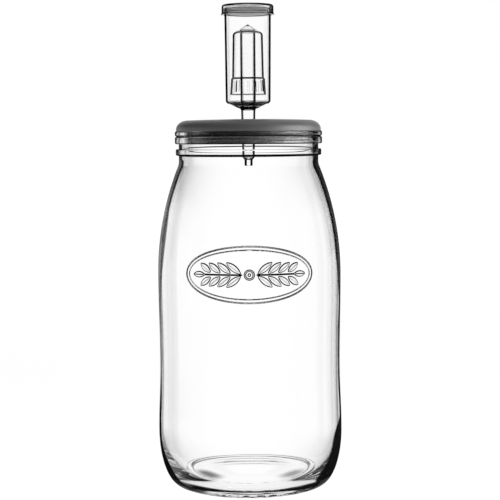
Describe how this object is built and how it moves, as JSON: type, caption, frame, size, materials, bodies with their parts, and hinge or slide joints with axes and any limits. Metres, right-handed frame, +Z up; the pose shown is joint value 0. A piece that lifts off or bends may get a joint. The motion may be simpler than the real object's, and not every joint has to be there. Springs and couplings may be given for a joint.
{
  "type": "fermentation jar",
  "caption": "Clear glass fermentation jar with a push-in silicone lid and a water airlock whose bell floats inside a capped chamber.",
  "frame": {"origin": "centre of the foot ring that the jar stands on", "axes": "+Z up along the axis that the jar, the lid and the airlock share, -Y towards the viewer of the picture"},
  "size_m": [0.1412, 0.1412, 0.3671],
  "materials": {
    "clear_glass": "polished clear flint glass",
    "grey_silicone": "satin dark grey silicone",
    "clear_plastic": "clear moulded polystyrene"
  },
  "bodies": {
    "jar": {"glass_jar": "clear_glass"},
    "lid": {"silicone_lid": "grey_silicone"},
    "airlock": {"airlock_body": "clear_plastic"},
    "bell": {"floating_bell": "clear_plastic"},
    "cap": {"dust_cap": "clear_plastic"}
  },
  "joints": [
    {"name": "lid_lift", "type": "slide", "parent": "jar", "child": "lid", "axis": [0, 0, 1], "range_m": [0, 0.08]},
    {"name": "airlock_pull", "type": "slide", "parent": "lid", "child": "airlock", "axis": [0, 0, 1], "range_m": [0, 0.045]},
    {"name": "bell_float", "type": "slide", "parent": "airlock", "child": "bell", "axis": [0, 0, 1], "range_m": [0, 0.0134]},
    {"name": "cap_lift", "type": "slide", "parent": "airlock", "child": "cap", "axis": [0, 0, 1], "range_m": [0, 0.03]}
  ]
}
